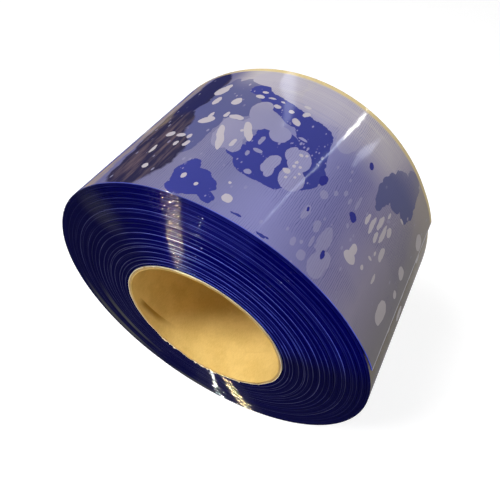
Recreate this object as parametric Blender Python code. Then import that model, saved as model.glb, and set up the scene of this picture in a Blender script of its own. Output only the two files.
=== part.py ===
"""Roll of PVC strip on a paperboard core, the stock that a strip curtain is cut from.

The roll lies on its round side, as in use on the floor: its axis runs along Y, and the
floor is at z = 0. Its pieces are modelled about their own Z axis, and an empty then lays
them down. Angles run anticlockwise from +X as seen from the near end, at -Y, so the top
of the roll is at 90 degrees.
"""

import math

import bmesh
import bpy
import numpy as np

for old_object in list(bpy.data.objects):
    bpy.data.objects.remove(old_object, do_unlink=True)

# Clearance between pieces that touch on the real roll
touch_gap = 0.0003

# Paperboard core, from the bore outwards
bore_diameter = 0.200
liner_ply_thickness = 0.0006
body_plies_thickness = 0.0022
outer_ply_thickness = 0.0006

# Butt seams of the wound plies: climb per turn, open width, and where they start
liner_ply_lead = 0.115
outer_ply_lead = 0.115
ply_seam_width = 0.0006
liner_seam_angle = math.radians(56.8)
outer_seam_angle = math.radians(30.0)

# Double-sided tape between the core and the strip's inner end
start_tape_thickness = 0.00025
start_tape_width = 0.050
start_tape_inset = 0.010

# PVC strip, with the turns of the real roll
strip_width = 0.200
strip_thickness = 0.0017
wound_turns = 53.75

# Outer end of the strip: where it lies and how far it lifts off the roll
tail_angle = math.radians(26.0)
tail_lift = 0.0022
tail_lift_reach = 0.048

# Loops that stand for the wound turns, and the air between two of them
shown_loops = 23.75
loop_gap = 0.0005

# Flat that the roll's own weight presses where it lies on the floor
floor_angle = math.radians(270.0)
floor_flat_depth = 0.0005

# Facets in one turn
points_per_loop = 44
points_per_ply_turn = 72
tail_points_per_facet = 3

# Lengths that follow: the core is cut flush with the strip, and the tape ends inside it
core_length = strip_width
start_tape_length = strip_width - 2 * start_tape_inset

# Radii that follow, from the bore outwards
bore_radius = bore_diameter / 2
body_plies_radius = bore_radius + liner_ply_thickness + touch_gap
outer_ply_radius = body_plies_radius + body_plies_thickness + touch_gap
core_radius = outer_ply_radius + outer_ply_thickness
start_tape_radius = core_radius + touch_gap
first_loop_radius = start_tape_radius + start_tape_thickness + touch_gap
roll_radius = core_radius + wound_turns * strip_thickness

# The turn under the tail has its true radius, so the fat loops end flush with it
under_tail_radius = roll_radius - strip_thickness
loop_spacing = (under_tail_radius + loop_gap - first_loop_radius) / shown_loops
loop_thickness = loop_spacing - loop_gap

# Height of the roll's axis over the floor, and half the angle that the flat spans
facet_reach = 1 / math.cos(math.pi / points_per_loop)
loops_from_floor_to_tail = (floor_angle - tail_angle) / (2 * math.pi)
floor_loop_radius = (first_loop_radius + loop_thickness
                     + loop_spacing * (shown_loops - loops_from_floor_to_tail))
axis_height = floor_loop_radius - floor_flat_depth
half_flat_angle = math.acos(axis_height / (floor_loop_radius * facet_reach))


def plastic(name, colour, roughness):
    """A Principled material with a plain colour."""
    material = bpy.data.materials.new(name)
    material.use_nodes = True
    shader = material.node_tree.nodes["Principled BSDF"]
    shader.inputs["Base Color"].default_value = (*colour, 1)
    shader.inputs["Roughness"].default_value = roughness
    shader.inputs["Metallic"].default_value = 0
    return material


def finished_object(name, mesh_data, material):
    """Turn a closed bmesh into a smooth-shaded object that hangs on the roll's empty."""
    bmesh.ops.recalc_face_normals(mesh_data, faces=mesh_data.faces)
    mesh = bpy.data.meshes.new(name)
    mesh_data.to_mesh(mesh)
    mesh_data.free()
    mesh.shade_smooth()
    mesh.set_sharp_from_angle(angle=math.radians(30))
    mesh.materials.append(material)
    piece = bpy.data.objects.new(name, mesh)
    piece.parent = roll
    bpy.context.scene.collection.objects.link(piece)
    return piece


def wound_band(name, stations, width, closed, material):
    """Extrude a rolled outline across its width; a station is (angle, inner, outer radius)."""
    band = bmesh.new()
    rungs = []
    for angle, inner, outer in stations:
        direction = np.array([math.cos(angle), math.sin(angle)])
        rungs.append([band.verts.new((*(radius * direction), -width / 2))
                      for radius in (inner, outer)])
    following = rungs[1:] + rungs[:1] if closed else rungs[1:]
    for rung, next_rung in zip(rungs, following):
        band.faces.new((rung[0], rung[1], next_rung[1], next_rung[0]))
    grown = bmesh.ops.extrude_face_region(band, geom=band.faces[:])["geom"]
    risen = [item for item in grown if isinstance(item, bmesh.types.BMVert)]
    bmesh.ops.translate(band, verts=risen, vec=(0, 0, width))
    return finished_object(name, band, material)


def rolled_ply(name, radius, thickness, lead, seam_angle, material):
    """One long paper strip wound as a left-hand helix and cut off square at both ends.

    Flattened, the ply is a parallelogram. Its two long edges meet in the butt seam,
    and a turn of winding lifts each of them by the lead.
    """
    half_seam = ply_seam_width / 2
    first_turn = (half_seam - lead) / lead
    last_turn = (core_length - half_seam) / lead
    corner_turns = [-half_seam / lead, (core_length + half_seam - lead) / lead]
    grid = range(math.ceil(first_turn * points_per_ply_turn),
                 math.floor(last_turn * points_per_ply_turn) + 1)
    turns = sorted([first_turn, last_turn, *corner_turns]
                   + [step / points_per_ply_turn for step in grid])
    ply = bmesh.new()
    columns = []
    for turn in turns:
        angle = seam_angle - 2 * math.pi * turn
        across = (radius * math.cos(angle), radius * math.sin(angle))
        low = max(0, lead * turn + half_seam) - core_length / 2
        high = min(core_length, lead * turn + lead - half_seam) - core_length / 2
        if turn in (first_turn, last_turn):
            columns.append([ply.verts.new((*across, min(low, high)))])
        else:
            columns.append([ply.verts.new((*across, low)), ply.verts.new((*across, high))])
    for column, next_column in zip(columns, columns[1:]):
        ply.faces.new(column + next_column[::-1])
    grown = bmesh.ops.extrude_face_region(ply, geom=ply.faces[:])["geom"]
    outward = (radius + thickness) / radius
    for item in grown:
        if isinstance(item, bmesh.types.BMVert):
            item.co.x *= outward
            item.co.y *= outward
    return finished_object(name, ply, material)


def tail_rise(loops_before_tail):
    """How far the strip stands off the roll near its outer end, eased in smoothly."""
    reach_loops = tail_lift_reach / (2 * math.pi * roll_radius)
    along = min(1, max(0, 1 - loops_before_tail / reach_loops))
    return tail_lift * along * along * (3 - 2 * along)


def winding_station(loop):
    """Angle and radii of the strip after that many loops from its inner end.

    Seen from the near end the strip runs clockwise as it grows. Its facets touch the
    true spiral at their middle, so no loop bites into the core, the tape or another loop.
    """
    loops_before_tail = shown_loops - loop
    angle = tail_angle + 2 * math.pi * loops_before_tail
    inner = first_loop_radius + loop_spacing * loop + tail_rise(loops_before_tail)
    outer = (inner + loop_thickness) * facet_reach
    from_floor = math.cos(angle - floor_angle)
    if outer * from_floor > axis_height:
        outer = axis_height / from_floor
    return angle, inner * facet_reach, outer


def winding_loops():
    """Loop counts along the strip, one a facet.

    They lie closer together where the tail lifts, and the last loop has two more at the
    ends of its flat.
    """
    facets = round(shown_loops * points_per_loop)
    lifted = math.ceil(tail_lift_reach / (2 * math.pi * roll_radius) * points_per_loop)
    plain = [facet / points_per_loop for facet in range(facets - lifted)]
    fine_step = 1 / (points_per_loop * tail_points_per_facet)
    start = (facets - lifted) / points_per_loop
    fine = [start + step * fine_step for step in range(lifted * tail_points_per_facet + 1)]
    over_floor = shown_loops - loops_from_floor_to_tail
    half_flat = half_flat_angle / (2 * math.pi)
    return sorted([*plain, *fine, over_floor - half_flat, over_floor + half_flat])


def least_self_gap(stations):
    """Smallest distance from points on the outer face to points one loop further out."""
    angles, inner, outer = (np.array(column) for column in zip(*stations))
    shares = np.linspace(0, 1, 5)
    faces = []
    for radii in (inner, outer):
        corners = np.stack([radii * np.cos(angles), radii * np.sin(angles)], axis=1)
        spans = corners[1:] - corners[:-1]
        faces.append((corners[:-1, None] + shares[None, :, None] * spans[:, None]).reshape(-1, 2))
    inner_points, outer_points = faces
    window = points_per_loop * len(shares)
    least = math.inf
    for index, point in enumerate(outer_points):
        beyond = inner_points[index + window // 2:index + window + window // 2]
        if len(beyond):
            least = min(least, np.linalg.norm(beyond - point, axis=1).min())
    return least


roll = bpy.data.objects.new("roll", None)
roll.rotation_euler = (math.pi / 2, 0, 0)
roll.location = (0, 0, axis_height)
bpy.context.scene.collection.objects.link(roll)

kraft = plastic("kraft paper", (0.50, 0.32, 0.12), 0.85)
core_board = plastic("core board", (0.42, 0.28, 0.13), 0.90)
pale_kraft = plastic("pale kraft paper", (0.66, 0.52, 0.32), 0.85)
adhesive_tape = plastic("adhesive tape", (0.62, 0.60, 0.52), 0.50)
blue_pvc = plastic("blue PVC", (0.012, 0.014, 0.16), 0.15)

# Core: a seamed liner in the bore, the glued middle plies, a seamed outer ply
rolled_ply("core_liner_ply", bore_radius, liner_ply_thickness, liner_ply_lead,
           liner_seam_angle, kraft)
ring_angles = [2 * math.pi * step / points_per_ply_turn for step in range(points_per_ply_turn)]
wound_band("core_body_plies",
           [(angle, body_plies_radius, body_plies_radius + body_plies_thickness)
            for angle in ring_angles],
           core_length, True, core_board)
rolled_ply("core_outer_ply", outer_ply_radius, outer_ply_thickness, outer_ply_lead,
           outer_seam_angle, pale_kraft)

# Tape under the first stretch of the strip, centred on the core's length
tape_span = start_tape_width / start_tape_radius
tape_facets = math.ceil(tape_span / (2 * math.pi) * points_per_ply_turn)
strip_start_angle = winding_station(0)[0]
tape_angles = [strip_start_angle - tape_span * step / tape_facets
               for step in range(tape_facets + 1)]
wound_band("start_tape",
           [(angle, start_tape_radius, start_tape_radius + start_tape_thickness)
            for angle in tape_angles],
           start_tape_length, False, adhesive_tape)

# Strip: one unbroken band from its start on the core to its free tail
winding = [winding_station(loop) for loop in winding_loops()]
wound_band("strip", winding, strip_width, False, blue_pvc)

real_length = math.pi * (roll_radius ** 2 - core_radius ** 2) / strip_thickness
print(f"strip: least gap to itself {least_self_gap(winding) * 1000:.3f} mm")
print(f"strip: {real_length:.1f} m on the real roll, outer diameter {roll_radius * 2000:.1f} mm")
print(f"roll: axis {axis_height * 1000:.2f} mm over the floor")
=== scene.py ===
import math

import bmesh
import bpy
import numpy as np
from mathutils import Matrix, Vector


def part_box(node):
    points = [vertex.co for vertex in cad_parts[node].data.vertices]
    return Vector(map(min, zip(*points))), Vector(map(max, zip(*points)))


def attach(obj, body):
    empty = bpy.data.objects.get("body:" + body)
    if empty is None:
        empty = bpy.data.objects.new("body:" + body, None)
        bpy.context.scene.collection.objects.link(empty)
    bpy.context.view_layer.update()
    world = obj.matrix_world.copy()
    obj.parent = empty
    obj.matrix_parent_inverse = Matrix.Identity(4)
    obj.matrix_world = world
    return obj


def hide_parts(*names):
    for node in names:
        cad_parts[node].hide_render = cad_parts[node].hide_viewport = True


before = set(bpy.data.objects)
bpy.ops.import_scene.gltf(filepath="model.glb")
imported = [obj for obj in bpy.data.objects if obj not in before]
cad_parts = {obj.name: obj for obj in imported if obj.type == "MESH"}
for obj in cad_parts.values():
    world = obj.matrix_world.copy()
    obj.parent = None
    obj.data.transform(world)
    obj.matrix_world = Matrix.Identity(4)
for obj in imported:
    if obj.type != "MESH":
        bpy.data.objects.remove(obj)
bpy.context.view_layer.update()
bpy.context.scene.view_settings.view_transform = "Standard"

# Core liner ply
# The innermost paper of the core, brown kraft wound as a helix round a mandrel. Its
# edges meet in a butt seam that shows as a dark line in the bore.
core_length = 0.200
liner_inner_radius = 0.1000
liner_outer_radius = 0.1007
ply_lead = 0.115
least_ply_width = 0.0008
liner_seam_degrees = 56.8
liner_seam_width = 0.00010
ply_steps_per_turn = 240
axis_height = sum(corner.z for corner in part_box("core_liner_ply")) / 2


def material_called(name, roughness):
    """A new node material, with its node tree and its Principled shader."""
    material = bpy.data.materials.new(name)
    material.use_nodes = True
    shader = material.node_tree.nodes["Principled BSDF"]
    shader.inputs["Roughness"].default_value = roughness
    return material, material.node_tree, shader


def add_node(tree, kind, *values, output=0, **settings):
    """Place a node, set or link its inputs in order, and give one of its outputs back."""
    made = tree.nodes.new(kind)
    for name, value in settings.items():
        setattr(made, name, value)
    for socket, value in zip([s for s in made.inputs if s.enabled], values):
        if value is None:
            continue
        if isinstance(value, bpy.types.NodeSocket):
            tree.links.new(value, socket)
        else:
            socket.default_value = value
    return made.outputs[output]


def sums(tree, operation, *values):
    """One Math node, by the name of what it works out."""
    return add_node(tree, "ShaderNodeMath", *values, operation=operation)


def blend_colours(tree, share, first, second):
    """Mix two colours by a share that runs from 0 to 1."""
    mixed = tree.nodes.new("ShaderNodeMix")
    mixed.data_type = "RGBA"
    for socket, value in zip((mixed.inputs[0], mixed.inputs[6], mixed.inputs[7]),
                             (share, first, second)):
        if isinstance(value, bpy.types.NodeSocket):
            tree.links.new(value, socket)
        else:
            socket.default_value = value
    return mixed.outputs[2]


def stepped(tree, value, low, high, to_low=0.0, to_high=1.0):
    """Ease a value from one range into another."""
    return add_node(tree, "ShaderNodeMapRange", value, low, high, to_low, to_high,
                    interpolation_type="SMOOTHSTEP")


def times(tree, first, *others):
    """Multiply masks and shares with each other."""
    for other in others:
        first = sums(tree, "MULTIPLY", first, other)
    return first


def within(tree, value, rise_from, rise_to, fall_from, fall_to):
    """A mask that is 1 between two soft edges and 0 beyond them."""
    return times(tree, stepped(tree, value, rise_from, rise_to),
                 stepped(tree, value, fall_from, fall_to, 1.0, 0.0))


def colour(red, green, blue):
    """A shader colour from the red, green and blue that a screen shows, each of 255."""
    def linear(part):
        share = part / 255
        return share / 12.92 if share <= 0.04045 else ((share + 0.055) / 1.055) ** 2.4
    return (linear(red), linear(green), linear(blue), 1)


# Where a point lies on the roll: degrees round the axis, millimetres in from the near
# end, and millimetres out from the axis
roll_place = bpy.data.node_groups.new("place on the roll", "ShaderNodeTree")
for output_name in ("Degrees", "Depth", "Radius"):
    roll_place.interface.new_socket(output_name, in_out="OUTPUT", socket_type="NodeSocketFloat")
place_out = roll_place.nodes.new("NodeGroupOutput")
place_xyz = roll_place.nodes.new("ShaderNodeSeparateXYZ")
roll_place.links.new(add_node(roll_place, "ShaderNodeTexCoord", output=3), place_xyz.inputs[0])
place_height = sums(roll_place, "SUBTRACT", place_xyz.outputs[2], axis_height)
place_turn = sums(roll_place, "DEGREES",
                  sums(roll_place, "ARCTAN2", place_height, place_xyz.outputs[0]))
place_depth = sums(roll_place, "ADD", place_xyz.outputs[1], core_length / 2)
place_flat = add_node(roll_place, "ShaderNodeCombineXYZ", place_xyz.outputs[0], 0.0, place_height)
place_radius = add_node(roll_place, "ShaderNodeVectorMath", place_flat, output=1,
                        operation="LENGTH")
for measure, place_socket in zip((sums(roll_place, "FLOORED_MODULO", place_turn, 360.0),
                                  times(roll_place, place_depth, 1000.0),
                                  times(roll_place, place_radius, 1000.0)), place_out.inputs):
    roll_place.links.new(measure, place_socket)


def place_nodes(tree):
    """Degrees, depth and radius of the point that is shaded."""
    group = tree.nodes.new("ShaderNodeGroup")
    group.node_tree = roll_place
    return group.outputs[0], group.outputs[1], group.outputs[2]


# Paper: long fibres, small dark specks and cloudy pulp, for every ply of the core. Noise
# that reads an object's own point, here and below, has its size in waves per metre.
cloud_size = 34.0
speck_size = 420.0
speck_place_size = 90.0
fibre_stretch = (1.0, 0.25, 1.0)
fibre_part = 0.45
cloud_part = 0.55
speck_strength = 0.35
paper_roughness = 0.82
tooth_strength = 0.25
tooth_height = 0.0002
paper = bpy.data.node_groups.new("paper", "ShaderNodeTree")
for socket_name, kind in (("Light", "Color"), ("Dark", "Color"), ("Fibre size", "Float")):
    paper.interface.new_socket(socket_name, in_out="INPUT", socket_type="NodeSocket" + kind)
for socket_name, kind in (("Color", "Color"), ("Height", "Float")):
    paper.interface.new_socket(socket_name, in_out="OUTPUT", socket_type="NodeSocket" + kind)
paper_in = paper.nodes.new("NodeGroupInput")
paper_out = paper.nodes.new("NodeGroupOutput")
paper_point = add_node(paper, "ShaderNodeTexCoord", output=3)
paper_long = add_node(paper, "ShaderNodeMapping", paper_point, None, None, fibre_stretch)
fibres = add_node(paper, "ShaderNodeTexNoise", paper_long, paper_in.outputs[2], 4.0, 0.6)
clouds = add_node(paper, "ShaderNodeTexNoise", paper_point, cloud_size, 3.0, 0.55)
specks = add_node(paper, "ShaderNodeTexVoronoi", paper_point, speck_size)
speck_place = add_node(paper, "ShaderNodeTexNoise", paper_point, speck_place_size)
paper_share = sums(paper, "ADD", times(paper, stepped(paper, fibres, 0.35, 0.65), fibre_part),
                   times(paper, stepped(paper, clouds, 0.35, 0.65), cloud_part))
paper_plain = blend_colours(paper, paper_share, paper_in.outputs[0], paper_in.outputs[1])
paper_speck = times(paper, stepped(paper, specks, 0.10, 0.16, 1.0, 0.0),
                    stepped(paper, speck_place, 0.60, 0.66), speck_strength)
paper.links.new(blend_colours(paper, paper_speck, paper_plain, colour(92, 62, 28)),
                paper_out.inputs[0])
paper.links.new(fibres, paper_out.inputs[1])


def paper_material(name, light, dark, fibre_size):
    """Matt paper with a slight tooth."""
    material, tree, shader = material_called(name, paper_roughness)
    shader.inputs["Specular IOR Level"].default_value = 0.0
    sheet = tree.nodes.new("ShaderNodeGroup")
    sheet.node_tree = paper
    sheet.inputs[0].default_value = light
    sheet.inputs[1].default_value = dark
    sheet.inputs[2].default_value = fibre_size
    tree.links.new(sheet.outputs[0], shader.inputs["Base Color"])
    tooth = add_node(tree, "ShaderNodeBump", tooth_strength, tooth_height, None, sheet.outputs[1])
    tree.links.new(tooth, shader.inputs["Normal"])
    return material, tree, shader, sheet


# The core was sawn a little short, and its paper frays where the saw left it. Fibres
# stand out in the frayed spans, which are given in degrees round the roll.
saw_recess = 0.0011
least_recess = 0.00015
saw_waver = 0.00025
fibre_waver = 0.00012
fray_depth = 0.0009
waver_steps = 72
ply_corner_angle = math.radians(35)
fray = np.random.default_rng(7)
waver_draws = fray.normal(0, 1, waver_steps + 1)
fibre_draws = fray.random(ply_steps_per_turn)
frayed_spans = ((226, 229), (231, 232), (248, 250), (252, 257), (263, 266), (269, 271),
                (276, 280), (300, 302), (322, 323), (158, 160), (118, 119))


def sawn_short(degrees_round, raised=0.0):
    """How far inside its full length the core ends at that angle, in metres."""
    around = degrees_round % 360
    place = around * waver_steps / 360
    step = int(place)
    share = place - step
    wander = waver_draws[step] * (1 - share) + waver_draws[(step + 1) % waver_steps] * share
    fibre = fibre_draws[int(around * ply_steps_per_turn / 360) % ply_steps_per_turn]
    short = saw_recess + saw_waver * wander + fibre_waver * fibre - raised
    if any(first <= around <= last for first, last in frayed_spans):
        short -= fray_depth * (0.5 + 0.5 * fibre)
    return max(least_recess, short)


def new_object(name, data):
    """An object in the scene that holds a mesh, a lamp or the camera."""
    piece = bpy.data.objects.new(name, data)
    bpy.context.scene.collection.objects.link(piece)
    return piece


def new_piece(name, mesh_data, material):
    """A mesh object from a bmesh, smooth but for its sharp edges, in one material."""
    bmesh.ops.recalc_face_normals(mesh_data, faces=mesh_data.faces)
    data = bpy.data.meshes.new(name)
    mesh_data.to_mesh(data)
    mesh_data.free()
    data.shade_smooth()
    data.set_sharp_from_angle(angle=ply_corner_angle)
    data.materials.append(material)
    return new_object(name, data)


def ring_point(radius, degrees_round, from_far_end):
    """A point on a ring round the roll's axis, that far in from the far end."""
    turn = math.radians(degrees_round)
    return (radius * math.cos(turn), core_length / 2 - from_far_end,
            axis_height + radius * math.sin(turn))


def skin(mesh_data, outlines):
    """Join a row of closed outlines, each to the next, and give the faces back in order."""
    return [mesh_data.faces.new((outline[first], after[first],
                                 after[(first + 1) % len(outline)],
                                 outline[(first + 1) % len(outline)]))
            for outline, after in zip(outlines, outlines[1:]) for first in range(len(outline))]


def rolled_ply(name, inner_radius, outer_radius, seam_degrees, seam_width, raised, material):
    """One paper strip wound as a helix; a turn of winding climbs by the lead."""
    ply = bmesh.new()
    columns = []
    for step in range(-ply_steps_per_turn, ply_steps_per_turn * 2):
        turn = step / ply_steps_per_turn
        around = seam_degrees - 360 * turn
        low = max(sawn_short(around + 180, raised), ply_lead * turn + seam_width / 2)
        high = min(core_length - sawn_short(around, raised),
                   ply_lead * (turn + 1) - seam_width / 2)
        if high - low > least_ply_width:
            columns.append([ply.verts.new(ring_point(radius, around, along))
                            for radius, along in ((inner_radius, low), (inner_radius, high),
                                                  (outer_radius, high), (outer_radius, low))])
    skin(ply, columns)
    ply.faces.new(columns[0])
    ply.faces.new(columns[-1][::-1])
    return new_piece(name, ply, material)


kraft, kraft_tree, kraft_shader, kraft_sheet = paper_material(
    "kraft liner", colour(234, 201, 124), colour(218, 183, 106), 900.0)

# Beside the seam, near the mouth of the bore, a painted shadow darkens the paper below the ply's
# edge. There the seam is two turns on from where it starts.
seam_climb = ply_lead / 360 * 1000
seam_start = (core_length - ply_lead * (liner_seam_degrees + 2 * 360) / 360) * 1000
bore_degrees, bore_depth = place_nodes(kraft_tree)[:2]
seam_depth = sums(kraft_tree, "MULTIPLY_ADD", bore_degrees, seam_climb, seam_start)
past_seam = sums(kraft_tree, "SUBTRACT", seam_depth, bore_depth)
seam_shadow = times(kraft_tree, within(kraft_tree, past_seam, -0.3, 0.4, 2.0, 11.0),
               within(kraft_tree, bore_degrees, 184.0, 196.0, 205.0, 232.0), 0.75)
kraft_tree.links.new(blend_colours(kraft_tree, seam_shadow, kraft_sheet.outputs[0],
                                   colour(150, 102, 28)),
                     kraft_shader.inputs["Base Color"])
liner = rolled_ply("liner_ply_wound", liner_inner_radius, liner_outer_radius,
                   liner_seam_degrees, liner_seam_width, 0.0, kraft)
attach(liner, "root")
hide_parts("core_liner_ply")

# Core body plies
# The tan middle plies that carry the load, glued to one wall. Only their cut edge shows,
# between the liner and the outer ply.
board_inner_radius = 0.10072
board_outer_radius = 0.10328
board = paper_material("core board", colour(206, 172, 116), colour(176, 140, 86), 1500.0)[0]
board_mesh = bmesh.new()
board_rings = []
for step in range(ply_steps_per_turn):
    around = 360 * step / ply_steps_per_turn
    board_low = sawn_short(around + 180)
    board_high = core_length - sawn_short(around)
    board_rings.append([board_mesh.verts.new(ring_point(radius, around, along))
                        for radius, along in (
                            (board_inner_radius, board_low), (board_inner_radius, board_high),
                            (board_outer_radius, board_high), (board_outer_radius, board_low))])
skin(board_mesh, board_rings + board_rings[:1])
body_plies = new_piece("body_plies_wound", board_mesh, board)
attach(body_plies, "root")
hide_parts("core_body_plies")

# Core outer ply
# A pale kraft cover ply, wound as the liner is. It lies under the strip, so only its
# cut edge shows, as the light ring round the core's end.
outer_ply_inner_radius = 0.1033
outer_ply_outer_radius = 0.10395
outer_seam_degrees = 30.0
outer_seam_width = 0.0004
outer_ply_stands_out = 0.0003
pale = paper_material("pale kraft", colour(252, 243, 218), colour(238, 224, 192), 1200.0)[0]
outer_ply = rolled_ply("outer_ply_wound", outer_ply_inner_radius, outer_ply_outer_radius,
                       outer_seam_degrees, outer_seam_width, outer_ply_stands_out, pale)
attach(outer_ply, "root")
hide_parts("core_outer_ply")

# Torn paper edge
# Flakes of the outer ply that the saw tore loose, mostly low down. They curl out over
# the first turn of the strip and are still held by the ply.
flake_spans = ((227.0, 232.5), (235.0, 236.0), (239.0, 241.5), (259.5, 262.0), (264.5, 269.0),
               (271.0, 273.0), (274.5, 280.0), (301.0, 302.5))
flake_steps = 8
flake_reach = 0.0028
flake_thickness = 0.00018
flake_root = 0.0013
flake_tip = 0.00012
least_ragged = 0.3
blunt_end = 0.4
flake_draws = fray.random((len(flake_spans), flake_steps + 1))
flakes = bmesh.new()
for flake_number, (first_degrees, last_degrees) in enumerate(flake_spans):
    flake_outlines = []
    for step in range(flake_steps + 1):
        around = first_degrees + (last_degrees - first_degrees) * step / flake_steps
        swell = math.sin(math.pi * (step + blunt_end) / (flake_steps + 2 * blunt_end))
        ragged = least_ragged + (1 - least_ragged) * flake_draws[flake_number, step]
        tip_radius = outer_ply_outer_radius + flake_reach * swell * ragged
        root_along = core_length - flake_root
        tip_along = core_length - flake_tip - flake_thickness
        flake_outlines.append([flakes.verts.new(ring_point(radius, around, along))
                               for radius, along in (
                                   (outer_ply_inner_radius, root_along),
                                   (outer_ply_inner_radius, tip_along + flake_thickness),
                                   (tip_radius, tip_along + flake_thickness),
                                   (tip_radius, tip_along), (outer_ply_outer_radius, tip_along),
                                   (outer_ply_outer_radius, root_along))])
    skin(flakes, flake_outlines)
    flakes.faces.new(flake_outlines[0])
    flakes.faces.new(flake_outlines[-1][::-1])
torn_edge = new_piece("torn_paper_edge", flakes, pale)
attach(torn_edge, "root")

# Start tape
# Double-sided tape of milky film that holds the strip's inner end on the core. It lies
# between the outer ply and the first turn.
tape_cloud_size = 160.0
milky, milky_tree, milky_shader = material_called("milky tape", 0.45)
milky_cloud = add_node(milky_tree, "ShaderNodeTexNoise",
                       add_node(milky_tree, "ShaderNodeTexCoord", output=3),
                       tape_cloud_size, 3.0, 0.6)
milky_tree.links.new(blend_colours(milky_tree, stepped(milky_tree, milky_cloud, 0.35, 0.65),
                                   colour(214, 210, 192), colour(194, 190, 170)),
                     milky_shader.inputs["Base Color"])
start_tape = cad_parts["start_tape"]
start_tape.data.materials.clear()
start_tape.data.materials.append(milky)

# Strip
# One unbroken strip of soft transparent blue PVC, extruded, knife-cut to width and wound
# until it lies 53.75 layers thick. Its square-cut outer end stands a little off the roll.
strip_width = 0.1990
strip_thickness = 0.00166
turn_spacing = 0.0017045
wound_layers = 53.75
wound_turns = wound_layers - 1
core_radius = 0.104
tail_angle = math.radians(27.2)
tail_lift = 0.0015
tail_lift_reach = 0.048
inner_corner_radius = 0.00062
outer_corner_radius = 0.00014
corner_points = 8
face_margin = 0.0006
points_per_turn = 144
roll_radius = core_radius + wound_layers * turn_spacing
floor_clearance = 0.00002
strip_corner_angle = math.radians(50)

# Side drift of the winding, drawn once: a slow wander, and a lasting part for each turn
drift = np.random.default_rng(41)
drift_per_turn = 3
most_drift = 0.00048
slow_drift = 0.00010
turn_drift = 0.00022
slow_draws = drift.normal(0, 1, int(wound_turns * drift_per_turn) + 4)
turn_draws = drift.normal(0, 1, int(wound_turns) + 3)


def edge_drift(turns):
    """How far the strip has wandered sideways after that many turns, in metres."""
    step = int(turns * drift_per_turn)
    share = turns * drift_per_turn - step
    share = share * share * (3 - 2 * share)
    slow = slow_draws[step] * (1 - share) + slow_draws[step + 1] * share
    turn = int(turns)
    lasting = turn_draws[turn] * (turn + 1 - turns) + turn_draws[turn + 1] * (turns - turn)
    return max(-most_drift, min(most_drift, slow_drift * slow + turn_drift * lasting))


def section_points():
    """The strip's cross section as (outward, sideways), round from its outer far corner."""
    half = strip_width / 2
    margin = half - outer_corner_radius - face_margin
    points = [(strip_thickness, margin)]
    for corner_radius, start, sideways_sign in ((outer_corner_radius, 0, 1),
                                                (inner_corner_radius, 90, 1),
                                                (inner_corner_radius, 180, -1),
                                                (outer_corner_radius, 270, -1)):
        middle = corner_radius if start in (90, 180) else strip_thickness - corner_radius
        for step in range(corner_points):
            turn = math.radians(start + 90 * step / (corner_points - 1))
            points.append((middle + corner_radius * math.cos(turn),
                           sideways_sign * (half - corner_radius)
                           + corner_radius * math.sin(turn)))
    points.append((strip_thickness, -margin))
    return points


section = section_points()
face_sides = {0, 2 * corner_points, len(section) - 2, len(section) - 1}
strip_mesh = bmesh.new()
stations = [step / points_per_turn for step in range(int(wound_turns * points_per_turn) + 1)]
lift_turns = tail_lift_reach / (2 * math.pi * roll_radius)
rings = []
for turns in stations:
    left = wound_turns - turns
    angle = tail_angle + 2 * math.pi * left
    rise_share = min(1, max(0, 1 - left / lift_turns))
    rise = tail_lift * rise_share * rise_share * (3 - 2 * rise_share)
    inner = core_radius + turn_spacing * turns + rise
    sideways = edge_drift(turns)
    ring = []
    for outward, side in section:
        radius = inner + outward
        height = max(axis_height + radius * math.sin(angle), floor_clearance)
        ring.append(strip_mesh.verts.new((radius * math.cos(angle), side + sideways, height)))
    rings.append(ring)
for number, quad in enumerate(skin(strip_mesh, rings)):
    quad.material_index = 0 if number % len(section) in face_sides else 1
strip_mesh.faces.new(rings[0]).material_index = 1
strip_mesh.faces.new(rings[-1][::-1]).material_index = 1
bmesh.ops.recalc_face_normals(strip_mesh, faces=strip_mesh.faces)
strip_data = bpy.data.meshes.new("strip wound")
strip_mesh.to_mesh(strip_data)
strip_mesh.free()
turn_count = strip_data.attributes.new("turns", "FLOAT", "POINT")
turn_count.data.foreach_set("value", np.repeat(np.array(stations, np.float32), len(section)))

# On the real roll some turns stand proud and catch the light. Here they lie level with the
# rest, and only their outer corners are painted lighter. A pair is a radius in millimetres,
# just outside the turn's start, and how brightly the turn shines.
proud_turns = ((194.9, 1.3), (186.5, 0.2), (180.5, 0.25), (176.2, 0.2), (171.3, 0.8), (167, 0.35),
               (161, 0.45), (156, 0.5), (151, 0.45), (144.6, 1.1), (138, 0.8), (134, 0.75),
               (130, 0.85), (128, 0.7), (123, 0.9), (117, 0.9), (112, 1.0), (107, 1.1))
start_inside = 1.156 * turn_spacing
plain_shine = 0.08
most_plain_shine = 0.25
shine = np.clip(drift.normal(0.0, plain_shine, int(wound_turns) + 2), 0, most_plain_shine)
for proud_radius, how_bright in proud_turns:
    turn = round((proud_radius / 1000 - core_radius - start_inside) / turn_spacing)
    shine[min(int(wound_turns), turn)] = how_bright
turn_shine = strip_data.attributes.new("shine", "FLOAT", "POINT")
outer_corners = {*range(1, 1 + corner_points),
                 *range(1 + 3 * corner_points, 1 + 4 * corner_points)}
lit_points = np.array([1 if point in outer_corners else 0 for point in range(len(section))])
turn_shine.data.foreach_set("value", np.outer(
    [shine[int(turns)] for turns in stations], lit_points).astype(np.float32).ravel())
strip_data.shade_smooth()
strip_data.set_sharp_from_angle(angle=strip_corner_angle)
strip = new_object("strip_wound", strip_data)

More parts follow.
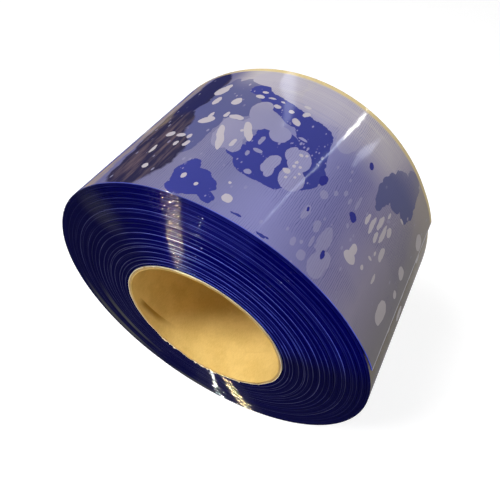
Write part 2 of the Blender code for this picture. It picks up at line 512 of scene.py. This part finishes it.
# An oval patch: how near a point is to its middle, 1 there and 0 at its edge, or the
# nearness that comes in from other ovals, where that is more
oval = bpy.data.node_groups.new("oval patch", "ShaderNodeTree")
for socket_name, kind in (("Point", "Vector"), ("Middle", "Vector"), ("Half size", "Vector"),
                          ("Turn", "Float"), ("Others", "Float")):
    oval.interface.new_socket(socket_name, in_out="INPUT", socket_type="NodeSocket" + kind)
oval.interface.new_socket("Nearness", in_out="OUTPUT", socket_type="NodeSocketFloat")
oval_in = oval.nodes.new("NodeGroupInput")
oval_out = oval.nodes.new("NodeGroupOutput")
oval_offset = add_node(oval, "ShaderNodeVectorMath", oval_in.outputs[0], oval_in.outputs[1],
                       operation="SUBTRACT")
oval_turned = oval.nodes.new("ShaderNodeVectorRotate")
oval_turned.rotation_type = "Z_AXIS"
oval.links.new(oval_offset, oval_turned.inputs["Vector"])
oval.links.new(oval_in.outputs[3], oval_turned.inputs["Angle"])
oval_scaled = add_node(oval, "ShaderNodeVectorMath", oval_turned.outputs[0], oval_in.outputs[2],
                       operation="DIVIDE")
oval_length = add_node(oval, "ShaderNodeVectorMath", oval_scaled, output=1, operation="LENGTH")
oval.links.new(sums(oval, "MAXIMUM", sums(oval, "SUBTRACT", 1.0, oval_length),
                    oval_in.outputs[4]), oval_out.inputs[0])


def patches(tree, point, rows, softness=0.012):
    """A mask of many ovals; a row is degrees, depth, half its arc and depth in mm, turn."""
    nearest = -1.0
    for round_degrees, deep, half_arc, half_depth, turn in rows:
        patch = tree.nodes.new("ShaderNodeGroup")
        patch.node_tree = oval
        tree.links.new(point, patch.inputs[0])
        patch.inputs[1].default_value = (math.radians(round_degrees) * roll_radius * 1000, deep, 0)
        patch.inputs[2].default_value = (half_arc, half_depth, 1)
        patch.inputs[3].default_value = math.radians(turn)
        if isinstance(nearest, float):
            patch.inputs[4].default_value = nearest
        else:
            tree.links.new(nearest, patch.inputs[4])
        nearest = patch.outputs[0]
    return stepped(tree, nearest, -softness, softness)


# Where the outer turn clings to the one below, the face shows the dark stack; where air
# is trapped between them, it shows pale. Each row places one patch on the face.
blue, blue_tree, blue_shader = material_called("blue PVC face", 0.40)
blue_shader.inputs["Specular IOR Level"].default_value = 0.0
blue_shader.inputs["Coat Roughness"].default_value = 0.07
degrees, depth = place_nodes(blue_tree)[:2]
arc_mm = times(blue_tree, degrees, math.radians(1) * roll_radius * 1000)
side_point = add_node(blue_tree, "ShaderNodeCombineXYZ", arc_mm, depth, 0.0)
object_point = add_node(blue_tree, "ShaderNodeTexCoord", output=3)


def wandered(size, reach, detail):
    """The point on the face, moved about by noise so that patch edges run as liquid does."""
    noise = add_node(blue_tree, "ShaderNodeTexNoise", object_point, size, detail, 0.55, output=1)
    centred = add_node(blue_tree, "ShaderNodeVectorMath", noise, (0.5, 0.5, 0.5),
                       operation="SUBTRACT")
    moved = add_node(blue_tree, "ShaderNodeVectorMath", centred, (reach, reach, 0.0),
                     operation="MULTIPLY")
    return add_node(blue_tree, "ShaderNodeVectorMath", side_point, moved, operation="ADD")


wide_point = wandered(48.0, 15.0, 4.0)
small_point = wandered(90.0, 4.0, 3.0)

slate_rows = [
    (101.0, 90.0, 12.5, 42.0, 0), (99.0, 140.0, 25.0, 36.0, 0), (105.0, 130.0, 15.0, 46.0, 0),
    (94.0, 124.0, 10.0, 14.0, 0), (43.0, 158.0, 12.0, 26.0, 0), (48.0, 152.0, 14.0, 26.0, 0),
    (52.0, 134.0, 8.5, 27.0, 0), (44.0, 182.0, 11.0, 13.0, 0)]
# These rows place a painted dark reflection on the face, just past its top.
dark_reflection_rows = [
    (109.0, 40.0, 30.0, 46.0, 0), (112.0, 84.0, 21.0, 36.0, 0), (113.5, 152.0, 19.0, 48.0, 0),
    (115.5, 110.0, 16.0, 60.0, 0)]
wet_rows = [
    (80.5, 61.0, 25.5, 15.5, 0), (73.5, 92.0, 16.0, 37.0, 0), (75.5, 125.0, 17.0, 19.0, 0),
    (81.5, 88.0, 22.0, 24.0, 0), (86.5, 66.0, 15.0, 11.0, -12), (86.0, 100.0, 6.0, 7.5, 0),
    (80.5, 133.0, 22.0, 11.0, -10), (85.5, 139.0, 20.0, 12.0, -20), (91.0, 148.0, 18.0, 9.5, -25),
    (95.5, 158.0, 10.0, 9.0, -20), (70.0, 86.0, 7.0, 20.0, 0), (91.5, 19.0, 18.5, 16.0, 0),
    (94.5, 30.0, 8.5, 13.0, 0), (86.5, 10.0, 8.5, 5.0, -15), (92.5, 9.0, 15.0, 7.0, 0),
    (72.0, 5.0, 5.0, 1.6, 0), (79.0, 6.6, 4.3, 1.4, 0)]
pale_rows = [
    (58.75, 15.0, 8.0, 12.4, 0), (60.0, 38.0, 5.6, 14.4, 0), (57.5, 23.0, 4.8, 8.0, 0),
    (63.0, 11.4, 3.8, 4.8, 0), (66.0, 16.4, 2.1, 4.4, 0), (62.6, 28.0, 1.6, 6.0, 0),
    (63.2, 43.0, 2.8, 6.5, 0), (64.4, 21.0, 1.5, 1.8, 0), (67.0, 47.0, 2.8, 8.4, 0),
    (65.75, 73.6, 3.7, 4.5, 0), (63.4, 84.0, 1.7, 3.2, 0), (57.25, 94.0, 1.6, 8.5, 0),
    (59.5, 88.0, 1.6, 4.0, 0), (61.4, 91.4, 1.7, 3.6, 0), (56.9, 66.0, 1.4, 2.4, 0),
    (73.7, 66.0, 10.5, 13.0, 0), (74.7, 88.0, 9.4, 14.0, 0), (77.2, 91.0, 5.0, 9.0, 0),
    (79.75, 69.0, 5.5, 12.0, -10), (79.0, 61.0, 3.4, 7.0, 0), (82.75, 50.0, 3.0, 2.8, 0),
    (84.15, 76.0, 4.2, 2.5, 0), (85.0, 88.5, 2.0, 6.0, 0), (85.75, 68.6, 1.6, 3.0, 0),
    (77.25, 112.0, 4.2, 1.6, 0), (82.5, 105.0, 9.3, 11.0, 0), (88.0, 118.0, 19.0, 12.0, -28),
    (91.0, 130.0, 8.5, 12.0, -20), (89.5, 106.0, 10.0, 8.0, 0), (93.0, 84.0, 13.5, 21.0, 0),
    (90.5, 74.0, 8.0, 12.0, 30), (96.0, 98.0, 5.0, 11.0, 0), (68.0, 158.0, 12.0, 32.0, 0),
    (76.5, 172.0, 27.0, 27.0, 0), (93.0, 180.0, 27.0, 15.0, 0)]
bubble_rows = [
    (35.1, 41.6, 7.7, 12.4, 0), (33.25, 96.4, 6.0, 6.4, 0), (32.1, 73.0, 3.8, 4.0, 0),
    (30.5, 151.0, 8.5, 9.0, 0), (24.25, 55.0, 4.3, 4.4, 0), (19.5, 88.0, 7.5, 9.0, 0),
    (24.25, 102.0, 2.6, 10.0, 0), (23.5, 155.0, 4.3, 6.0, 0), (52.65, 45.0, 6.5, 5.6, 0),
    (52.7, 52.4, 3.8, 7.6, 0), (44.1, 79.6, 3.1, 7.6, 0), (46.75, 96.0, 2.3, 12.0, 0),
    (48.5, 85.0, 2.3, 6.4, 0), (49.0, 102.0, 2.5, 9.6, 0), (51.0, 91.0, 2.1, 10.5, 0),
    (53.0, 91.0, 2.1, 6.4, 0), (45.0, 105.0, 2.9, 5.6, 0), (47.5, 118.0, 1.4, 4.4, 0),
    (48.15, 49.0, 1.9, 2.8, 0), (47.25, 63.6, 2.6, 1.5, 0), (46.4, 72.0, 1.4, 2.6, 0),
    (43.25, 53.0, 1.7, 6.0, 0), (42.4, 132.4, 3.4, 1.7, 0), (82.4, 17.0, 4.2, 4.2, 0),
    (84.25, 32.0, 1.2, 1.4, 0), (90.2, 18.0, 1.7, 2.2, 0), (94.4, 22.0, 2.1, 3.4, 0),
    (75.0, 64.5, 1.4, 1.6, 0), (75.75, 71.0, 3.4, 2.8, 0), (74.9, 79.6, 1.6, 1.8, 0),
    (75.1, 85.0, 1.4, 2.0, 0), (75.2, 95.0, 1.7, 2.0, 0), (74.0, 98.0, 1.4, 1.6, 0),
    (73.2, 69.0, 1.0, 1.4, 0), (73.1, 75.0, 1.0, 1.4, 0), (73.6, 82.0, 1.2, 1.6, 0),
    (89.5, 94.0, 14.0, 3.6, -61), (94.5, 77.0, 18.0, 3.4, -66), (90.5, 74.0, 2.2, 5.5, 0),
    (91.0, 93.0, 1.5, 2.0, 0), (101.0, 60.0, 2.6, 4.2, 0), (102.2, 71.0, 2.0, 4.0, 0),
    (104.2, 59.0, 2.2, 3.6, 0), (105.0, 72.0, 5.0, 2.8, 0), (109.0, 74.0, 5.0, 3.6, 0),
    (106.2, 25.0, 3.0, 3.4, 0), (109.6, 50.0, 2.0, 6.0, 0), (102.2, 98.0, 7.8, 5.0, 30),
    (102.2, 106.0, 2.0, 5.0, 0), (95.0, 108.0, 7.0, 3.4, 0), (98.1, 110.0, 2.4, 4.3, 0),
    (98.85, 133.0, 4.6, 6.5, 0), (105.1, 133.0, 3.4, 7.4, 0), (107.0, 153.0, 6.8, 8.4, 0),
    (106.2, 161.0, 3.7, 4.2, 0), (94.0, 147.0, 4.2, 2.6, -15), (90.75, 148.0, 3.6, 1.3, 0),
    (87.75, 138.6, 3.4, 2.8, -15), (87.6, 147.0, 2.4, 1.1, 0), (84.0, 138.6, 2.4, 2.4, 0),
    (81.25, 129.0, 5.0, 3.4, -45), (80.4, 143.0, 2.6, 4.2, -30), (81.2, 153.0, 3.2, 2.0, 0),
    (93.75, 155.4, 3.2, 2.0, 0)]
drop_rows = [
    (56.9, 77.6, 3.9, 5.0, 30), (67.5, 86.0, 3.4, 6.2, 0), (59.0, 141.0, 2.6, 4.0, 20),
    (58.85, 25.6, 1.7, 4.0, 0), (67.0, 51.0, 1.1, 2.8, 0)]

# The face's tone round the roll is partly painted light: it greys towards the free end, is a
# painted brown reflection past it, and is painted lighter or darker by how the light falls.
# A stop is the place in degrees, and the tone there.
tone_and_light_stops = [(0, 84, 82, 110), (14, 90, 78, 62), (25.5, 104, 91, 74), (28, 118, 112, 114),
              (45, 137, 130, 149), (53, 124, 118, 150), (62, 108, 106, 152), (75, 124, 124, 172),
              (86, 108, 108, 148), (96, 114, 112, 144), (106, 100, 96, 128), (117, 92, 90, 130),
              (359, 84, 82, 120)]
tone_and_light_ramp = blue_tree.nodes.new("ShaderNodeValToRGB")
blue_tree.links.new(sums(blue_tree, "DIVIDE", degrees, 360.0), tone_and_light_ramp.inputs[0])
while len(tone_and_light_ramp.color_ramp.elements) < len(tone_and_light_stops):
    tone_and_light_ramp.color_ramp.elements.new(0.5)
for element, (stop, *tone) in zip(tone_and_light_ramp.color_ramp.elements, tone_and_light_stops):
    element.position = stop / 360
    element.color = colour(*tone)
base_tone = tone_and_light_ramp.outputs[0]


def face_noise(size, detail, roughness, point=object_point):
    """Cloudy noise on the face."""
    return add_node(blue_tree, "ShaderNodeTexNoise", point, size, detail, roughness)


def stretched(round_roll, round_scale, depth_scale):
    """A point whose pattern is stretched round the roll or along it."""
    return add_node(blue_tree, "ShaderNodeCombineXYZ", times(blue_tree, round_roll, round_scale),
                    times(blue_tree, depth, depth_scale), 0.0)


# Towards the far end the face grows paler, with fine scratches that run round the roll
round_scratches = face_noise(1.0, 4.0, 0.7, stretched(degrees, 0.02, 0.9))
far_share = times(blue_tree, stepped(blue_tree, depth, 118.0, 180.0, 0.0, 0.85),
                  within(blue_tree, degrees, 43.0, 56.0, 100.0, 109.0),
                  stepped(blue_tree, round_scratches, 0.30, 0.62, 0.55, 1.0))
tail_share = times(blue_tree, stepped(blue_tree, depth, 110.0, 195.0, 0.0, 0.6),
                   within(blue_tree, degrees, 8.0, 16.0, 40.0, 48.0))

# Grain that the extruder left, as fine slanting lines, and a bloom of pin-sized bubbles
grain_point = stretched(arc_mm, 0.55, 0.16)
grain = add_node(blue_tree, "ShaderNodeTexWave", grain_point, 0.32, 7.0, 3.0, 0.8)
grain_share = times(blue_tree, stepped(blue_tree, grain, 0.82, 0.97),
                    stepped(blue_tree, face_noise(16.0, 2.0, 0.5), 0.42, 0.58, 0.08, 0.65))
for share, tone in ((far_share, colour(192, 184, 182)), (tail_share, colour(166, 154, 138)),
                    (grain_share, colour(62, 60, 118))):
    base_tone = blend_colours(blue_tree, share, base_tone, tone)
pin_point = stretched(arc_mm, 1.0, 0.5)
pins = add_node(blue_tree, "ShaderNodeTexVoronoi", pin_point, 0.13)
pin_share = times(blue_tree, stepped(blue_tree, pins, 0.11, 0.17, 0.9, 0.0),
                  stepped(blue_tree, face_noise(22.0, 2.0, 0.5), 0.42, 0.50))

slate = patches(blue_tree, wide_point, slate_rows)
dark_reflection = patches(blue_tree, wide_point, dark_reflection_rows, 0.06)
wet = patches(blue_tree, wide_point, wet_rows)
pale_patch = patches(blue_tree, small_point, pale_rows)
bubble = patches(blue_tree, small_point, bubble_rows)
drop = patches(blue_tree, small_point, drop_rows)

# Beyond the stretch that the rows cover, the same marks come from noise
unseen = sums(blue_tree, "ADD", stepped(blue_tree, degrees, 10.0, 16.0, 1.0, 0.0),
              stepped(blue_tree, degrees, 121.0, 127.0))
blot = face_noise(9.0, 5.0, 0.50)
long_beads = add_node(blue_tree, "ShaderNodeMapping", object_point, None, None, (1.0, 0.55, 1.0))
beads = add_node(blue_tree, "ShaderNodeTexVoronoi", long_beads, 62.0)
more_beads = times(blue_tree, unseen, stepped(blue_tree, beads, 0.27, 0.30, 1.0, 0.0),
                   stepped(blue_tree, face_noise(13.0, 2.0, 0.5), 0.52, 0.56))
slate = sums(blue_tree, "MAXIMUM", slate,
             times(blue_tree, unseen, stepped(blue_tree, blot, 0.50, 0.508)))
wet = sums(blue_tree, "MAXIMUM", wet,
           times(blue_tree, unseen, stepped(blue_tree, blot, 0.575, 0.582)))
bubble = sums(blue_tree, "MAXIMUM", bubble, more_beads)

# Slate lets more of the face's tone through towards the far end. The painted dark reflection
# is streaked along the roll and turns navy past 110 degrees and deeper in.
pale_strength = 0.32
bubble_strength = 0.75
slate_tone = blend_colours(blue_tree, stepped(blue_tree, depth, 150.0, 195.0, 0.08, 0.55),
                           colour(72, 75, 122), base_tone)
reflection_streak_point = add_node(blue_tree, "ShaderNodeMapping", object_point, None, (0.0, 0.0, 0.5),
                       (1.0, 0.12, 1.0))
reflection_streaks = face_noise(150.0, 4.0, 0.65, reflection_streak_point)
dark_reflection_tone = blend_colours(blue_tree, stepped(blue_tree, reflection_streaks, 0.46, 0.72),
                          colour(25, 21, 56), colour(84, 68, 78))
dark_reflection_tone = blend_colours(blue_tree, times(blue_tree, stepped(blue_tree, degrees, 107.0, 110.0),
                                           stepped(blue_tree, depth, 104.0, 122.0)),
                          dark_reflection_tone, colour(12, 13, 70))
pale_tone = blend_colours(blue_tree, pale_strength, base_tone, colour(160, 156, 178))
bubble_tone = blend_colours(blue_tree, bubble_strength, base_tone, colour(186, 178, 180))
fine_pins = add_node(blue_tree, "ShaderNodeTexVoronoi", pin_point, 0.34)
foam = times(blue_tree, stepped(blue_tree, fine_pins, 0.16, 0.24, 0.85, 0.0),
             stepped(blue_tree, face_noise(34.0, 2.0, 0.5), 0.47, 0.55), wet)

# A painted tan reflection lies in streaks past the dark one, and painted light makes the far
# rim straw yellow
tan_reflection_place = sums(blue_tree, "ADD", degrees, times(blue_tree, face_noise(26.0, 4.0, 0.6), 9.0))
tan_reflection = times(blue_tree, stepped(blue_tree, tan_reflection_place, 122.6, 124.8, 0.0, 0.75),
                  stepped(blue_tree, degrees, 123.4, 125.6, 1.0, 0.0),
                  stepped(blue_tree, reflection_streaks, 0.40, 0.60, 0.35, 1.0))
far_rim_light = times(blue_tree, stepped(blue_tree, depth, 193.6, 194.8),
                stepped(blue_tree, degrees, 14.0, 30.0),
                stepped(blue_tree, degrees, 98.0, 122.0, 1.0, 0.35))

# A painted highlight lies on the last millimetre of the free end. Under the outermost turn the
# stack lets no light back out, so its faces are painted a very dark blue, as shade between the
# turns.
face_turns = add_node(blue_tree, "ShaderNodeAttribute", output=2, attribute_name="turns")
outermost = stepped(blue_tree, face_turns, wound_turns - 1.02, wound_turns - 1.01)
free_end_highlight = stepped(blue_tree, face_turns, wound_turns - 0.0017, wound_turns - 0.0009, 0.0, 0.8)
face_tone = base_tone
for share, tone in ((slate, slate_tone), (dark_reflection, dark_reflection_tone), (wet, colour(46, 51, 128)),
                    (pale_patch, pale_tone), (pin_share, pale_tone), (foam, pale_tone),
                    (bubble, bubble_tone), (drop, colour(34, 36, 122)),
                    (tan_reflection, colour(158, 138, 102)), (far_rim_light, colour(204, 184, 134)),
                    (free_end_highlight, colour(190, 186, 196))):
    face_tone = blend_colours(blue_tree, share, face_tone, tone)
face_tone = blend_colours(blue_tree, outermost, colour(4, 4, 72), face_tone)
blue_tree.links.new(face_tone, blue_shader.inputs["Base Color"])
face_gloss = times(blue_tree, stepped(blue_tree, outermost, 0.0, 1.0, 0.2, 1.0),
                   stepped(blue_tree, degrees, 96.0, 114.0, 0.22, 0.07))
blue_tree.links.new(face_gloss, blue_shader.inputs["Coat Weight"])

# The skin over an air pocket stands up a little, and the whole face waves where it was wound
pocket_rise = 0.00008
wave_rise = 0.0006
pocket = sums(blue_tree, "SUBTRACT", sums(blue_tree, "MAXIMUM", pale_patch, bubble),
              sums(blue_tree, "MAXIMUM", wet, drop))
face_wave = face_noise(28.0, 2.0, 0.5)
pocket_bump = add_node(blue_tree, "ShaderNodeBump", 0.6, pocket_rise, None, pocket)
wave_bump = add_node(blue_tree, "ShaderNodeBump", 0.5, wave_rise, None, face_wave, pocket_bump)
blue_tree.links.new(wave_bump, blue_shader.inputs["Normal"])
blue_tree.links.new(add_node(blue_tree, "ShaderNodeBump", 0.5, wave_rise, None, face_wave),
                    blue_shader.inputs["Coat Normal"])

# Cut edges: knife marks dull them, and each turn gets a painted highlight of its own strength
edge, edge_tree, edge_shader = material_called("blue PVC cut edge", 0.45)
edge_shader.inputs["Specular IOR Level"].default_value = 0.0
edge_shader.inputs["Coat Roughness"].default_value = 0.035
edge_degrees, edge_depth, edge_radius = place_nodes(edge_tree)
turns_here = add_node(edge_tree, "ShaderNodeAttribute", output=2, attribute_name="turns")
shine_here = add_node(edge_tree, "ShaderNodeAttribute", output=2, attribute_name="shine")
turn_number = sums(edge_tree, "FLOOR", turns_here)


def turn_noise_of(per_turn, per_degree, detail, roughness):
    """Noise that changes from turn to turn and more slowly round each of them."""
    point = add_node(edge_tree, "ShaderNodeCombineXYZ", times(edge_tree, turn_number, per_turn),
                     times(edge_tree, edge_degrees, per_degree), 0.0)
    return add_node(edge_tree, "ShaderNodeTexNoise", point, 1.0, detail, roughness)


turn_noise = turn_noise_of(7.3, 0.05, 2.0, 0.6)
# On the near end the upper turns are painted a brighter blue, as light that the strip carries in
# from the top, and a band of the outer turns there is painted lighter still
near_face = stepped(edge_tree, edge_depth, 40.0, 60.0, 1.0, 0.0)
painted_light_zone = times(edge_tree, near_face, within(edge_tree, edge_degrees, 16.0, 34.0, 86.0, 132.0))
painted_light_band = times(edge_tree, near_face, within(edge_tree, edge_degrees, 70.0, 74.0, 89.0, 91.0),
                   stepped(edge_tree, edge_radius, 155.0, 170.0), 0.30)
edge_dark = blend_colours(edge_tree, painted_light_zone, colour(9, 9, 58), colour(2, 2, 88))
edge_dark = blend_colours(edge_tree, painted_light_band, edge_dark, colour(34, 38, 128))
edge_highlight = blend_colours(edge_tree, painted_light_zone, colour(84, 84, 126), colour(100, 114, 242))
# Painted highlights lighten the outer corners of the turns that shine
highlight_share = times(edge_tree, shine_here,
                    stepped(edge_tree, turn_noise, 0.30, 0.65, 0.28, 0.90))
edge_tone = blend_colours(edge_tree, highlight_share, edge_dark, edge_highlight)

# Painted grey sheens, reflections low down on the left of this end, and a faint haze at the
# upper left. A row is the middle in degrees and radius in mm, half its size in both, and its
# strength.
sheen_and_haze_rows = ((213, 183.0, 36, 9.0, 0.50), (210, 155.0, 34, 8.0, 0.42),
              (262, 188.0, 22, 10.0, 0.40), (228, 190.0, 30, 5.0, 0.25),
              (125, 172.0, 10, 38.0, 0.12))
sheen_and_haze = 0.0
for sheen_degrees, sheen_radius, half_degrees, half_width, strength in sheen_and_haze_rows:
    away = [sums(edge_tree, "POWER",
                 sums(edge_tree, "DIVIDE", sums(edge_tree, "SUBTRACT", place, middle), half), 2.0)
            for place, middle, half in ((edge_degrees, sheen_degrees, half_degrees),
                                        (edge_radius, sheen_radius, half_width))]
    away = sums(edge_tree, "SQRT", sums(edge_tree, "ADD", *away))
    sheen_and_haze = sums(edge_tree, "MAXIMUM", sheen_and_haze, stepped(edge_tree, away, 0.15, 1.0, strength, 0.0))
sheen_and_haze = times(edge_tree, sheen_and_haze, near_face,
               stepped(edge_tree, turn_noise, 0.30, 0.60, 0.6, 1.0))
edge_tone = blend_colours(edge_tree, sheen_and_haze, edge_tone, colour(118, 118, 100))
edge_tree.links.new(edge_tone, edge_shader.inputs["Base Color"])

# The knife polished some stretches of the edge and left others dull, more so at the top
dull_gloss = 0.012
smooth_gloss = 0.07
polish = turn_noise_of(0.8, 1.2, 1.0, 0.5)
least_polish = add_node(edge_tree, "ShaderNodeMapRange", edge_degrees, 89.5, 91.5, 0.62, 0.51)
spotty = stepped(edge_tree, sums(edge_tree, "SUBTRACT", polish, least_polish),
                 0.0, 0.03, 0.001, 0.20)
in_spots = sums(edge_tree, "MAXIMUM", within(edge_tree, edge_degrees, 83.0, 84.0, 100.0, 102.0),
                within(edge_tree, edge_degrees, 58.0, 60.0, 64.0, 66.0))
in_smooth = within(edge_tree, edge_degrees, 260.0, 266.0, 299.0, 305.0)
edge_gloss = add_node(edge_tree, "ShaderNodeMix", times(edge_tree, in_spots, near_face),
                      dull_gloss, spotty)
edge_gloss = add_node(edge_tree, "ShaderNodeMix", times(edge_tree, in_smooth, near_face),
                      edge_gloss, smooth_gloss)
edge_tree.links.new(edge_gloss, edge_shader.inputs["Coat Weight"])

# Fine marks of the knife, which differ from turn to turn
knife_mark_size = 420.0
knife_mark_shift = 3.7
knife_mark_depth = 0.000012
edge_xyz = edge_tree.nodes.new("ShaderNodeSeparateXYZ")
edge_tree.links.new(add_node(edge_tree, "ShaderNodeTexCoord", output=3), edge_xyz.inputs[0])
knife_point = add_node(edge_tree, "ShaderNodeCombineXYZ",
                       times(edge_tree, edge_xyz.outputs[0], knife_mark_size),
                       times(edge_tree, turn_number, knife_mark_shift),
                       times(edge_tree, edge_xyz.outputs[2], knife_mark_size))
knife_marks = add_node(edge_tree, "ShaderNodeTexNoise", knife_point, 1.0, 3.0, 0.6)
knife_normal = add_node(edge_tree, "ShaderNodeBump", 1.0, knife_mark_depth, None, knife_marks)
edge_tree.links.new(knife_normal, edge_shader.inputs["Normal"])
edge_tree.links.new(knife_normal, edge_shader.inputs["Coat Normal"])

strip_data.materials.append(blue)
strip_data.materials.append(edge)
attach(strip, "root")
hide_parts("strip")

# Floor
# A plain pale floor that the roll lies on, with the roll's shadow. Its glow is seen but
# lights nothing, and it grows further out.
floor_radius = 9.0
floor_grey = 0.50
near_distance, near_glow = 1.2, 0.72
far_distance, far_glow = 5.0, 0.92
floor_mesh = bmesh.new()
bmesh.ops.create_circle(floor_mesh, cap_ends=True, segments=96, radius=floor_radius)
floor_data = bpy.data.meshes.new("floor")
floor_mesh.to_mesh(floor_data)
floor_mesh.free()
floor = new_object("floor", floor_data)


def seen_rays(tree):
    """1 for what the camera sees, straight, as a reflection or through something clear."""
    path = tree.nodes.new("ShaderNodeLightPath")
    return sums(tree, "MAXIMUM", path.outputs["Is Camera Ray"],
                sums(tree, "MAXIMUM", path.outputs["Is Glossy Ray"],
                     path.outputs["Is Transmission Ray"]))


floor_paint, floor_tree, floor_shader = material_called("pale floor", 0.9)
floor_tree.nodes.remove(floor_shader)
from_middle = add_node(floor_tree, "ShaderNodeVectorMath",
                       add_node(floor_tree, "ShaderNodeTexCoord", output=3), output=1,
                       operation="LENGTH")
floor_glow = stepped(floor_tree, from_middle, near_distance, far_distance, near_glow, far_glow)
floor_light = add_node(floor_tree, "ShaderNodeEmission", (1, 1, 1, 1),
                       times(floor_tree, seen_rays(floor_tree), floor_glow))
floor_matt = add_node(floor_tree, "ShaderNodeBsdfDiffuse", (floor_grey, floor_grey, floor_grey, 1))
floor_sum = add_node(floor_tree, "ShaderNodeAddShader", floor_matt, floor_light)
floor_tree.links.new(floor_sum, floor_tree.nodes["Material Output"].inputs[0])
floor_data.materials.append(floor_paint)

# Light
# A pale room with one soft lamp high in front on the left and a weaker one over the right.
# A tube with its glow, two fans behind and three lamps in front only show as glints.
room_light = 0.18
world = bpy.data.worlds.new("pale room")
bpy.context.scene.world = world
world.use_nodes = True
world_tree = world.node_tree
world_strength = add_node(world_tree, "ShaderNodeMapRange", seen_rays(world_tree),
                          0.0, 1.0, room_light, 1.0)
world_tree.links.new(world_strength, world_tree.nodes["Background"].inputs["Strength"])
world_tree.nodes["Background"].inputs["Color"].default_value = (1, 1, 1, 1)


def soft_lamp(name, place, size, watts):
    """A square area lamp that lights the roll but doesn't glint on it."""
    light = bpy.data.lights.new(name, "AREA")
    light.size = size
    light.energy = watts
    holder = new_object(name, light)
    holder.location = place
    aim = Vector((0, 0, axis_height)) - Vector(place)
    holder.rotation_euler = aim.to_track_quat("-Z", "Y").to_euler()
    holder.visible_glossy = False


def glint_lamp(name, low_end, high_end, wide, brightness, tint=(1, 1, 1)):
    """A flat lamp between two points, seen only as a glint; brightness is its radiance."""
    light = bpy.data.lights.new(name, "AREA")
    light.shape = "RECTANGLE"
    low_end, high_end = Vector(low_end), Vector(high_end)
    light.size = wide
    light.size_y = (high_end - low_end).length
    light.energy = brightness * math.pi * light.size * light.size_y
    light.color = tint
    holder = new_object(name, light)
    middle = (low_end + high_end) / 2
    back = (middle - Vector((0, 0, axis_height))).normalized()
    along = (high_end - low_end).normalized()
    across = along.cross(back).normalized()
    holder.matrix_world = Matrix((across, along, across.cross(along))).transposed().to_4x4()
    holder.location = middle
    holder.visible_diffuse = False


soft_lamp("front", (-1.2, -1.1, 2.2), 0.9, 66)
soft_lamp("overhead", (0.9, -0.2, 2.0), 1.4, 13)
glint_lamp("tube", (0.915, 3.4, 1.93), (0.922, 3.4, 2.30), 0.07, 75, (1, 1, 0.94))
glint_lamp("tube glow", (0.922, 3.4, 2.32), (0.80, 3.4, 4.2), 0.035, 34, (0.72, 0.82, 1))
glint_lamp("left fan", (-1.45, 3.4, 1.86), (-0.67, 3.4, 2.63), 0.14, 9, (0.75, 0.8, 1))
glint_lamp("right fan", (1.62, 3.4, 1.70), (1.50, 3.4, 2.06), 0.14, 12, (0.75, 0.8, 1))
glint_lamp("left glint", (-1.08, -1.83, 0.26), (-1.24, -1.83, 0.76), 0.27, 7500,
           (1, 0.80, 0.48))
glint_lamp("front glint", (-0.70, -1.96, 0.45), (-0.76, -1.96, 1.30), 0.13, 5500)
glint_lamp("right glint", (1.1, -1.6, 1.05), (1.1, -1.6, 1.45), 0.05, 8000)

# Camera
# It looks down on the near end and the side, from a little right of the middle. Its
# shift moves the roll to its place in the frame.
camera_data = bpy.data.cameras.new("camera")
camera_data.lens = 25.441
camera_data.sensor_width = 36.0
camera_data.shift_x = 0.06165
camera_data.shift_y = 0.15516
camera = new_object("camera", camera_data)
camera.location = (0.12721, -0.26303, 0.56007)
camera.rotation_euler = [math.radians(turn) for turn in (30.107, 0.895, 30.273)]
bpy.context.scene.camera = camera
